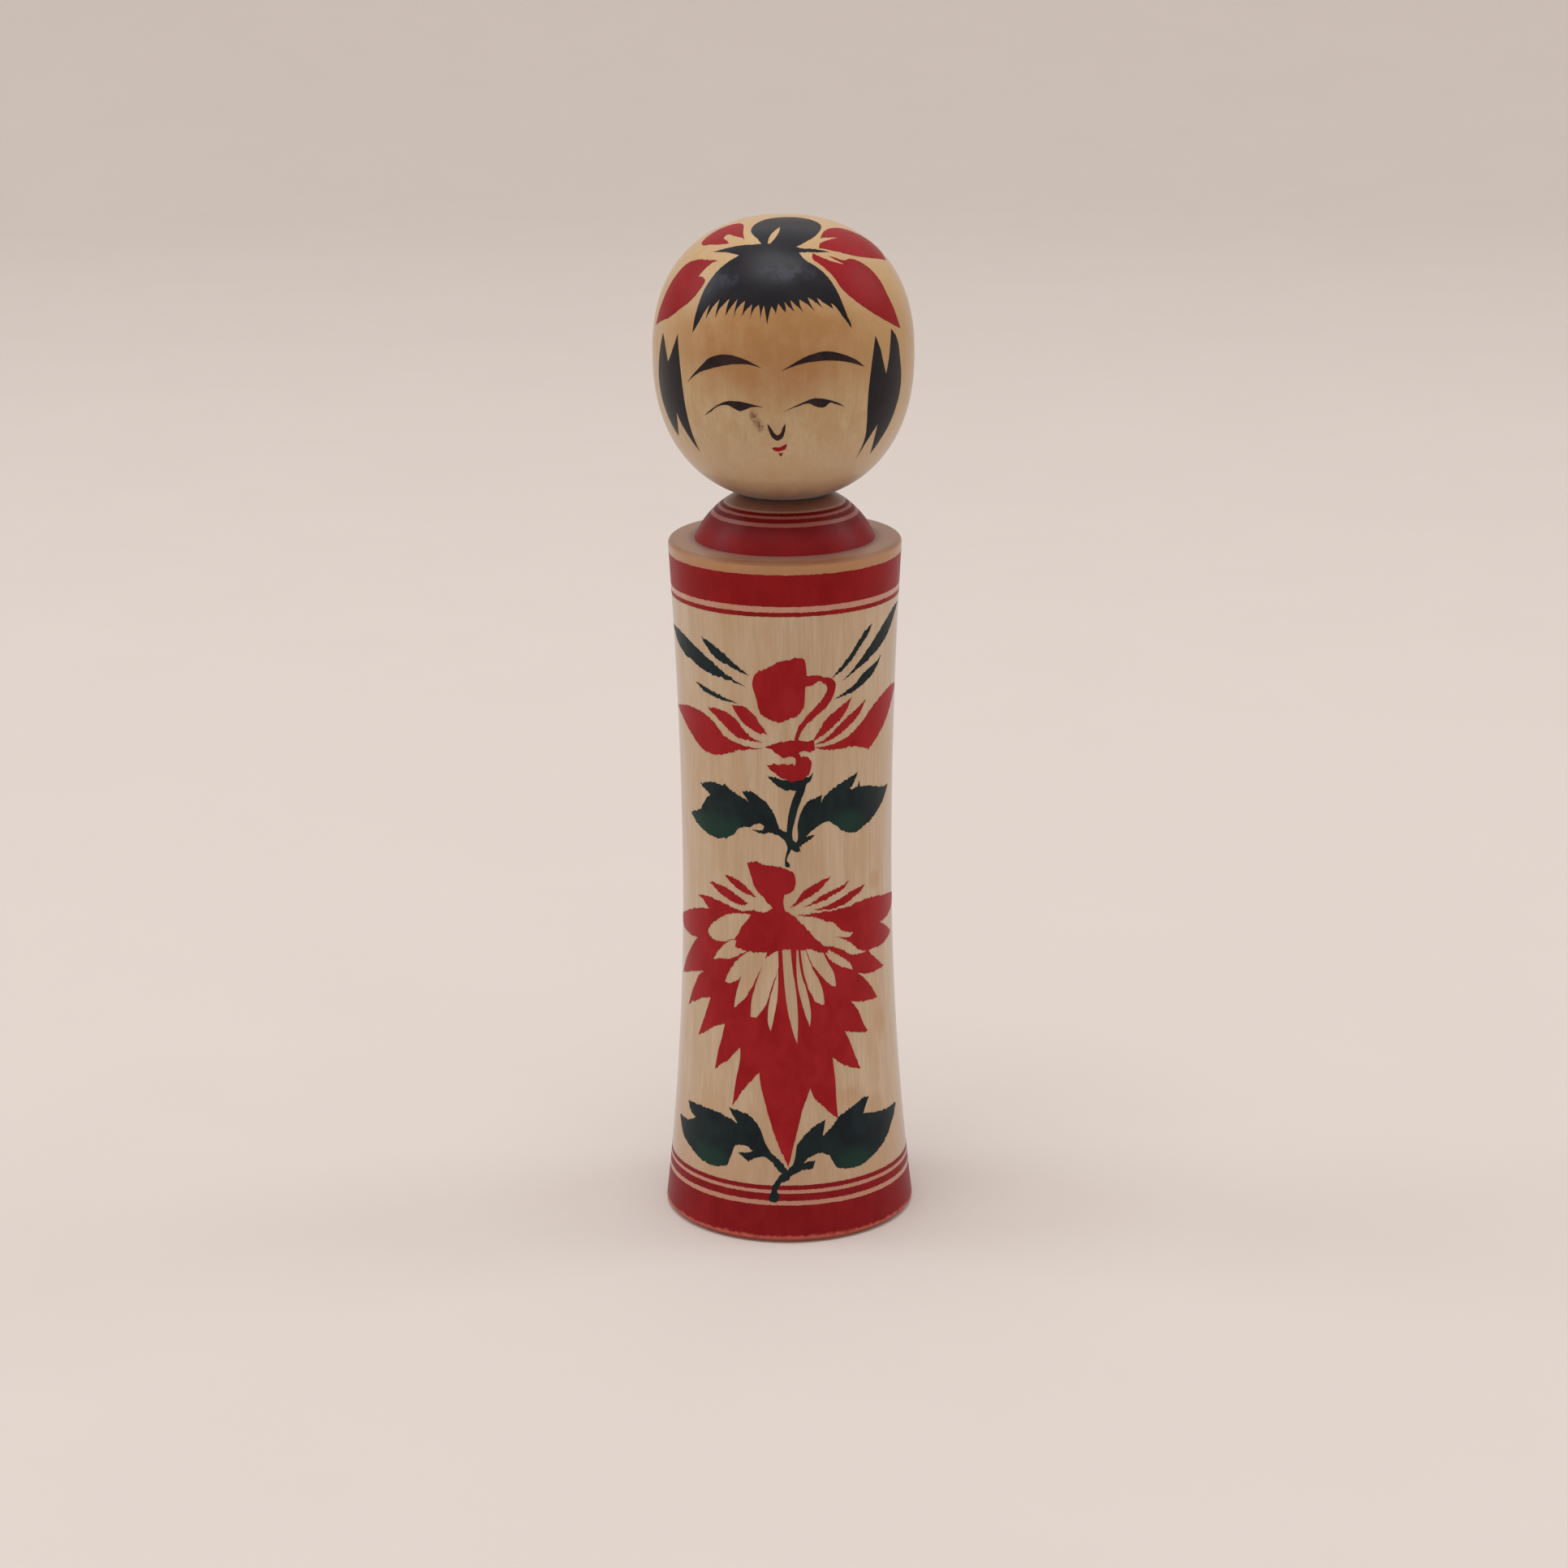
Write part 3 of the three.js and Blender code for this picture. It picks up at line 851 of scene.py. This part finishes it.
class Nodes:
    """One material with its colour so far, and short calls that add nodes to it. A value may be a
    number or a socket."""

    def __init__(self, name):
        self.material = bpy.data.materials.new(name)
        self.material.use_nodes = True
        self.tree = self.material.node_tree
        self.tree.nodes.clear()
        coordinates = self.tree.nodes.new("ShaderNodeTexCoord")
        self.place = self.vector("DIVIDE", coordinates.outputs["Object"], (MM, MM, MM))
        self.colour = None

    def plug(self, socket, value):
        if isinstance(value, bpy.types.NodeSocket):
            self.tree.links.new(value, socket)
        else:
            socket.default_value = value

    def math(self, operation, first, second=0.0):
        node = self.tree.nodes.new("ShaderNodeMath")
        node.operation = operation
        self.plug(node.inputs[0], first)
        self.plug(node.inputs[1], second)
        return node.outputs[0]

    def plus(self, first, second):
        return self.math("ADD", first, second)

    def times(self, first, second):
        return self.math("MULTIPLY", first, second)

    def vector(self, operation, first, second=(0, 0, 0)):
        node = self.tree.nodes.new("ShaderNodeVectorMath")
        node.operation = operation
        self.plug(node.inputs[0], first)
        self.plug(node.inputs[1], second)
        return node.outputs["Value" if operation in ("LENGTH", "DISTANCE") else "Vector"]

    def noise(self, stretch, detail, roughness=0.55, distortion=0.0):
        """Noise between 0 and 1 with so many cells per millimetre along X, Y and Z."""
        node = self.tree.nodes.new("ShaderNodeTexNoise")
        node.inputs["Scale"].default_value = 1
        node.inputs["Detail"].default_value = detail
        node.inputs["Roughness"].default_value = roughness
        node.inputs["Distortion"].default_value = distortion
        self.plug(node.inputs["Vector"], self.vector("MULTIPLY", self.place, stretch))
        return node.outputs["Fac"]

    def remap(self, value, low, high, to_low=0.0, to_high=1.0):
        """A smooth step from to_low to to_high as the value goes from low to high."""
        node = self.tree.nodes.new("ShaderNodeMapRange")
        node.interpolation_type = "SMOOTHSTEP"
        for socket, number in zip(node.inputs, (value, low, high, to_low, to_high)):
            self.plug(socket, number)
        return node.outputs["Result"]

    def mix(self, share, first, second):
        node = self.tree.nodes.new("ShaderNodeMix")
        node.data_type = "RGBA"
        self.plug(node.inputs["Factor"], share)
        self.plug(node.inputs[6], first)
        self.plug(node.inputs[7], second)
        return node.outputs[2]

    def tint(self, share, colour):
        """Lays a share of a colour over the colour so far."""
        self.colour = self.mix(share, self.colour, colour)

    def spot(self, centre, radii, softness=0.6):
        """1 inside an ellipsoid about a point, fading to 0 outside it."""
        away = self.vector("SUBTRACT", self.place, tuple(centre))
        away = self.vector("DIVIDE", away, tuple(radii))
        return self.remap(self.vector("LENGTH", away), 1 + softness, 1 - softness)

    def height(self):
        node = self.tree.nodes.new("ShaderNodeSeparateXYZ")
        self.plug(node.inputs[0], self.place)
        return node.outputs[2]

    def radius(self):
        """Distance from the doll's axis."""
        return self.vector("LENGTH", self.vector("MULTIPLY", self.place, (1, 1, 0)))

    def between(self, low, high, soft=0.15):
        """1 where the height is between two values."""
        height = self.height()
        above = self.remap(height, low - soft, low + soft)
        return self.times(above, self.remap(height, high + soft, high - soft))

    def shade(self, roughness, relief, depth, specular, sheen):
        """Finishes the material. depth is how deep the relief is."""
        bump = self.tree.nodes.new("ShaderNodeBump")
        bump.inputs["Distance"].default_value = depth * MM
        self.plug(bump.inputs["Height"], relief)
        shader = self.tree.nodes.new("ShaderNodeBsdfPrincipled")
        self.plug(shader.inputs["Base Color"], self.colour)
        self.plug(shader.inputs["Roughness"], roughness)
        self.plug(shader.inputs["Normal"], bump.outputs["Normal"])
        shader.inputs["Specular IOR Level"].default_value = specular
        shader.inputs["Sheen Weight"].default_value = sheen
        shader.inputs["Sheen Roughness"].default_value = 0.35
        shader.inputs["Sheen Tint"].default_value = (0.66, 0.82, 1, 1)
        output = self.tree.nodes.new("ShaderNodeOutputMaterial")
        self.tree.links.new(shader.outputs["BSDF"], output.inputs["Surface"])
        return self.material


def fine_fibres(n):
    return n.noise((2.2, 2.2, 0.1), detail=4, roughness=0.6)


def broad_streaks(n):
    return n.noise((0.45, 0.45, 0.025), detail=3)


def late_wood(n):
    """The dark side of the growth rings, which go round a pith that lies outside the doll."""
    across = n.vector("MULTIPLY", n.place, (1, 1, 0.02))
    from_pith = n.vector("DISTANCE", across, (34.0, 21.0, 0.0))
    wander = n.times(n.noise((0.06, 0.06, 0.012), detail=1), 5.0)
    ring = n.math("FRACT", n.math("DIVIDE", n.plus(from_pith, wander), 2.3))
    return n.times(n.remap(ring, 0.55, 0.93), n.remap(ring, 1.0, 0.95))


def lathe_marks(n, fibres):
    """Relief of the fibres with faint rings left by the tool."""
    tool = n.noise((0.02, 0.02, 3.2), detail=2)
    return n.plus(n.times(tool, 0.35), n.times(fibres, 0.65))


def start_wood(name, pale, dark, warm, patch_length):
    """Wood between a pale and a dark colour, with warm patches of that length. Gives the nodes,
    the fibres and the patches."""
    n = Nodes(name)
    fibres = fine_fibres(n)
    patches = n.noise((0.22, 0.22, 1 / patch_length), detail=5, roughness=0.6)
    tone = n.plus(n.times(fibres, 0.5), n.times(broad_streaks(n), 0.5))
    n.colour = n.mix(n.remap(tone, 0.33, 0.67), dark, pale)
    n.tint(n.remap(patches, 0.4, 0.68, 0.0, 0.65), warm)
    n.tint(n.times(late_wood(n), 0.14), dark)
    return n, fibres, patches


def finish_wood(n, fibres, patches, sheen):
    """Waxed wood, with the wax thicker on some patches and fibres."""
    wax = n.plus(patches, n.times(fibres, 0.4))
    return n.shade(n.remap(wax, 0.4, 0.9, 0.42, 0.32), lathe_marks(n, fibres), RELIEF, 0.25, sheen)


def body_wood():
    """Stained in front, browner towards the foot, with painted shade on the rim and under the head, and a
    painted reflection on the ledge.
    """
    n, fibres, patches = start_wood(
        "body_wood", srgb(198, 173, 144), srgb(182, 154, 124), srgb(184, 149, 113), 16)
    for angle, height, width, length in STAINS:
        centre, _ = body_side(angle, height)
        n.tint(n.times(n.spot(centre, (width, width, length)), 0.3), srgb(168, 112, 52))
    # Browner towards the foot.
    n.tint(n.remap(n.height(), 32, 8, 0.0, 0.55), srgb(176, 136, 103))
    for low, high in gaps(SIDE_RINGS) + gaps(FOOT_RINGS):
        n.tint(n.times(n.between(low, high), 0.55), srgb(186, 112, 100))
    n.tint(n.times(n.between(*SIDE_TOP), 0.85), srgb(168, 116, 74))
    tint_ledge(n, patches)
    # Red dye bled into the bare strips on the dome; their dark brown is partly painted shade under the head.
    n.tint(n.between(*DOME_GAPS), srgb(144, 78, 66))
    # Painted shade at the top of the dome, under the head.
    n.tint(n.remap(n.height(), *DOME_CAP_EDGE, 0.0, 0.85), srgb(116, 60, 44))
    return finish_wood(n, fibres, patches, sheen=0.33)


def tint_ledge(n, patches):
    """The ledge: darker in front as a painted reflection of the dark dome, with painted shade and some red
    dye in the corner by the dome, and painted shade at the rim.
    """
    radius = n.radius()
    # Painted reflection: the front of the ledge is darker where it mirrors the dark dome behind it.
    front_reflection_spot = n.spot((0, -19, LEDGE_HEIGHT), (13, 7, 6), 0.5)
    top = n.mix(front_reflection_spot, srgb(158, 115, 85), srgb(125, 73, 37))
    top = n.mix(n.remap(patches, 0.35, 0.65, 0.0, 0.35), top, srgb(130, 88, 58))
    # Partly painted shade and partly red dye: darker and redder in the corner by the dome.
    top = n.mix(n.remap(radius, 17.6, 16.2, 0.0, 0.6), top, srgb(108, 46, 34))
    # Painted shade: darker at the rim.
    top = n.mix(n.remap(radius, 19.4, 20.4, 0.0, 0.4), top, srgb(112, 70, 38))
    n.tint(n.between(*LEDGE, soft=0.3), top)


def head_wood():
    """Golden on the forehead and one temple, with a smudge, painted light from below on the lower face and
    painted shade on the underside.
    """
    n, fibres, patches = start_wood(
        "head_wood", srgb(195, 169, 132), srgb(182, 150, 111), srgb(183, 145, 102), 6)
    height = n.height()
    # Painted light: the lower face is paler, standing in for light reflected up from the pale floor.
    n.tint(n.remap(height, 151, 141, 0.0, 0.42), srgb(204, 178, 146))
    n.tint(n.remap(height, 150, 162, 0.0, 0.5), srgb(174, 132, 82))
    forehead, _ = head_front(-4, 13)
    golden = n.times(n.spot(forehead, (18, 14, 9), 0.55), n.remap(patches, 0.3, 0.62, 0.5, 0.75))
    n.tint(golden, srgb(156, 106, 57))
    temple, _ = head_side(68, 164)
    n.tint(n.times(n.spot(temple, (8, 12, 12), 0.7), 0.5), srgb(172, 132, 78))
    speckle = n.remap(n.noise((1.6, 1.6, 1.2), detail=3), 0.36, 0.58, 0.2, 0.8)
    for angle, level in SMUDGE:
        centre, _ = head_side(angle, level)
        n.tint(n.times(n.spot(centre, (0.6, 1, 0.9)), speckle), srgb(110, 66, 50))
    # Painted shade on the underside of the head, with a patchy edge.
    patchy_height = n.plus(height, n.times(patches, 3.0))
    for high, low, share in ((140.6, 139.4, 0.2), (139.5, 136.0, 0.6)):
        n.tint(n.remap(patchy_height, high, low, 0.0, share), srgb(126, 76, 48))
    return finish_wood(n, fibres, patches, sheen=0.2)


def start_dye(name, thin, thick):
    """Dye or ink between a thin and a thick colour, as fibres, streaks and the brush left it.
    Gives the nodes, the fibres and the load of dye."""
    n = Nodes(name)
    fibres = fine_fibres(n)
    brush = n.noise((0.22, 0.22, 0.16), detail=3, distortion=0.6)
    wood = n.plus(n.times(fibres, 0.15), n.times(broad_streaks(n), 0.15))
    load = n.remap(n.plus(wood, n.times(brush, 0.7)), 0.32, 0.68)
    n.colour = n.mix(load, thin, thick)
    return n, fibres, load


def scuff(n, worn, strength):
    """Small worn flecks."""
    flecks = n.remap(n.noise((2.6, 2.6, 1.1), detail=3, roughness=0.65), 0.66, 0.76)
    n.tint(n.times(flecks, strength), worn)


def finish_dye(n, fibres, load, rough=0.45, smooth=0.35, specular=0.1, sheen=0.06):
    """Under the same wax as the wood, and smoother where the dye is thick."""
    return n.shade(n.remap(load, 0.0, 1.0, rough, smooth), lathe_marks(n, fibres), RELIEF, specular, sheen)


def red_dye(name, thin, thick, worn):
    """Red, with painted shade on the dome under the head."""
    n, fibres, load = start_dye(name, thin, thick)
    scuff(n, worn, 0.15)
    on_dome = n.between(LEDGE_HEIGHT, DOME_TOP)
    # Painted shade: the red on the dome darkens towards the head above it.
    n.tint(n.times(on_dome, n.remap(n.height(), 127, 131, 0.25, 0.75)), srgb(84, 8, 6))
    return finish_dye(n, fibres, load)


def green_dye():
    """Almost black dye that is greener where the brush lifted, at the ends of the lower lobes."""
    n, fibres, load = start_dye("green_dye", srgb(27, 41, 40), srgb(20, 25, 31))
    for angle, height in GREEN_LOBES:
        centre, _ = body_side(angle, height)
        n.tint(n.times(n.spot(centre, (3.5, 3.5, 2.2), 0.8), 0.6), srgb(30, 62, 50))
    return finish_dye(n, fibres, load)


def foot_red():
    """The foot's red, worn through to a lighter brown along the chamfer."""
    n, fibres, load = start_dye("foot_red", srgb(133, 22, 27), srgb(120, 12, 18))
    scuff(n, srgb(160, 84, 66), 0.2)
    ragged_height = n.plus(n.height(), n.times(n.noise((0.8, 0.8, 0.8), detail=3), 1.4))
    n.tint(n.remap(ragged_height, 2.4, 1.6, 0.0, 0.85), srgb(196, 100, 84))
    return finish_dye(n, fibres, load, 0.48, 0.38)


def hair_ink():
    """Ink with worn flecks and painted bluish highlights in patches on the crown of the hair."""
    n, fibres, load = start_dye("hair_ink", srgb(27, 20, 25), srgb(15, 11, 17))
    scuff(n, srgb(60, 60, 68), 0.2)
    highlight_patches = n.remap(n.noise((0.5, 0.4, 0.7), detail=4, roughness=0.6), 0.38, 0.62)
    # Painted highlight: bluish patches where the glossy ink mirrors the overhead light.
    for side, pitch, size in HAIR_HIGHLIGHTS:
        centre, _ = head_front(side, pitch)
        painted_highlights = n.times(highlight_patches, n.spot(centre, (size, size, size * 0.5)))
        n.tint(n.times(painted_highlights, 0.2), srgb(84, 84, 100))
    return finish_dye(n, fibres, load, 0.34, 0.28, specular=0.18, sheen=0.0)


def face_ink():
    """The thinner, browner ink of the face's fine lines."""
    n, fibres, _ = start_dye("face_ink", srgb(50, 33, 31), srgb(27, 18, 19))
    return n.shade(0.35, lathe_marks(n, fibres), RELIEF, specular=0.15, sheen=0.0)


# ---------------------------------------------------------------- the doll


def wooden_piece(name, node, outline, material):
    """A fine turned surface that stands for a CAD node and rides on the body of the same name."""
    piece = turned_mesh(name, outline)
    piece.data.materials.append(material)
    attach(piece, node)
    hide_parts(node)


def painted_piece(name, body, slot, material, top, *paintings):
    """A film of brushwork that rides on a body. A painting is (chart, shapes, bleed)."""
    film = Film(top)
    for painting in paintings:
        film.add_painting(*painting)
    film.piece(name, body, slot, material)


def make_rings(red):
    shoulder = Film(RING_TOP)
    for low, high in SIDE_RINGS:
        shoulder.add_ring(body_side, low, high, 1)
    for low, high in DOME_RINGS:
        shoulder.add_ring(shoulder_dome, low, high, degree_span(DOME_ARC_RADIUS))
    shoulder.piece("shoulder_bands_red", "body", "red_dye", red)
    foot = Film(RING_TOP)
    for low, high in FOOT_RINGS:
        foot.add_ring(body_side, low, high, 1)
    foot.add_ring(foot_chamfer, *CHAMFER_RING, 1, ragged=0)
    foot.piece("foot_bands_red", "body", "red_dye", foot_red())


def make_doll():
    wooden_piece("body_wood", "body", body_outline(), body_wood())
    wooden_piece("head_wood", "head", head_outline(), head_wood())

    red = red_dye("red_dye", srgb(156, 30, 34), srgb(142, 17, 23), srgb(172, 76, 66))
    deep_red = red_dye("deep_red", srgb(141, 20, 24), srgb(129, 11, 15), srgb(156, 70, 60))
    green = green_dye()
    hair = hair_ink()
    make_rings(deep_red)
    for name, slot, material, top, shapes in (
        ("upper_flower_red", "red_dye", red, OVER_TOP, UPPER_FLOWER),
        ("lower_flower_red", "red_dye", red, OVER_TOP, LOWER_FLOWER),
        ("upper_strokes_green", "green_dye", green, UNDER_TOP, UPPER_STROKES),
        ("upper_leaves_green", "green_dye", green, UNDER_TOP, UPPER_LEAVES),
        ("lower_leaves_green", "green_dye", green, UNDER_TOP, LOWER_LEAVES),
    ):
        painted_piece(name, "body", slot, material, top, (BODY_CHART, shapes, BODY_BLEED))
    for name, slot, material, top, *paintings in (
        ("bangs_and_topknot_black", "black_ink", hair, OVER_TOP, (HEAD_CHART, BANGS_AND_TOPKNOT, HEAD_BLEED)),
        ("side_locks_black", "black_ink", hair, OVER_TOP, (FACE_CHART, SIDE_LOCKS, HEAD_BLEED)),
        ("face_ink_black", "black_ink", face_ink(), OVER_TOP, (FACE_CHART, FACE_LINES, FACE_BLEED)),
        ("ribbons_red", "red_dye", deep_red, UNDER_TOP,
         (HEAD_CHART, RIBBONS, HEAD_BLEED), (FACE_CHART, LEFT_RIBBON, HEAD_BLEED)),
        ("mouth_red", "red_dye", red, OVER_TOP, (FACE_CHART, MOUTH, FACE_BLEED)),
    ):
        painted_piece(name, "head", slot, material, top, *paintings)


# ---------------------------------------------------------------- studio


def make_backdrop():
    """A pale floor that curves up into a wall all round, so that every view has the same ground."""
    flat, bend, wall = 1.3, 0.9, 1.5
    outline = [(0.0, 0.0), (0.3, 0.0), (0.8, 0.0), (flat, 0.0)]
    for turn in np.linspace(0, math.pi / 2, 25)[1:]:
        outline.append((flat + bend * math.sin(turn), bend * (1 - math.cos(turn))))
    outline.append((flat + bend, wall))
    columns = 96
    vertices = [around(360 * column / columns, radius, height)
                for radius, height in outline[1:] for column in range(columns)]
    vertices.append(Vector((0, 0, 0)))
    faces = []
    for column in range(columns):
        beside = (column + 1) % columns
        faces.append((len(vertices) - 1, column, beside))
        for row in range(len(outline) - 2):
            low = row * columns
            faces.append((low + column, low + columns + column, low + columns + beside, low + beside))
    mesh = bpy.data.meshes.new("backdrop")
    mesh.from_pydata(vertices, [], faces)
    mesh.shade_smooth()
    n = Nodes("backdrop_paper")
    grain = n.noise((0.02, 0.02, 0.02), detail=2)
    n.colour = n.mix(grain, srgb(198, 185, 176), srgb(201, 188, 179))
    mesh.materials.append(n.shade(0.9, grain, 0.01, specular=0.1, sheen=0.0))
    link("backdrop", mesh)


def make_area_light(name, place, size, power, colour):
    """A square soft light that looks at the middle of the doll."""
    light = bpy.data.lights.new(name, "AREA")
    light.size = size
    light.energy = power
    light.color = colour
    lamp = bpy.data.objects.new(name, light)
    lamp.location = place
    middle = Vector((0, 0, TOTAL_HEIGHT / 2 * MM))
    lamp.rotation_euler = (middle - Vector(place)).to_track_quat("-Z", "Y").to_euler()
    bpy.context.scene.collection.objects.link(lamp)


def make_lights():
    make_area_light("overhead_softbox", (-0.15, -0.35, 2.1), 1.2, 17, (0.927, 0.968, 1))
    make_area_light("left_softbox", (-1.35, 0.2, 1.0), 0.7, 6.1, (0.77, 0.92, 1))
    make_area_light("right_softbox", (1.35, 0.25, 1.0), 0.7, 5.1, (0.81, 0.93, 1))
    world = bpy.data.worlds.new("tent")
    world.use_nodes = True
    background = world.node_tree.nodes["Background"]
    background.inputs["Color"].default_value = (0.957, 0.977, 1, 1)
    background.inputs["Strength"].default_value = 1.05
    bpy.context.scene.world = world


def make_camera():
    camera = bpy.data.cameras.new("camera")
    camera.lens = CAMERA_LENS
    camera.sensor_width = SENSOR_WIDTH
    camera.clip_start = 0.05
    camera.clip_end = 20
    pitch = math.radians(CAMERA_PITCH)
    roll = math.radians(CAMERA_ROLL)
    right = Vector((1, 0, 0))
    forward = Vector((0, math.cos(pitch), -math.sin(pitch)))
    up = Vector((0, math.sin(pitch), math.cos(pitch)))
    rolled_right = right * math.cos(roll) + up * math.sin(roll)
    rolled_up = up * math.cos(roll) - right * math.sin(roll)
    turn = Matrix((rolled_right, rolled_up, -forward)).transposed().to_4x4()
    holder = bpy.data.objects.new("camera", camera)
    holder.matrix_world = Matrix.Translation(Vector(CAMERA_PLACE) * MM) @ turn
    bpy.context.scene.collection.objects.link(holder)
    bpy.context.scene.camera = holder


make_camera()
make_doll()
make_backdrop()
make_lights()
bpy.context.scene.view_settings.view_transform = "Standard"
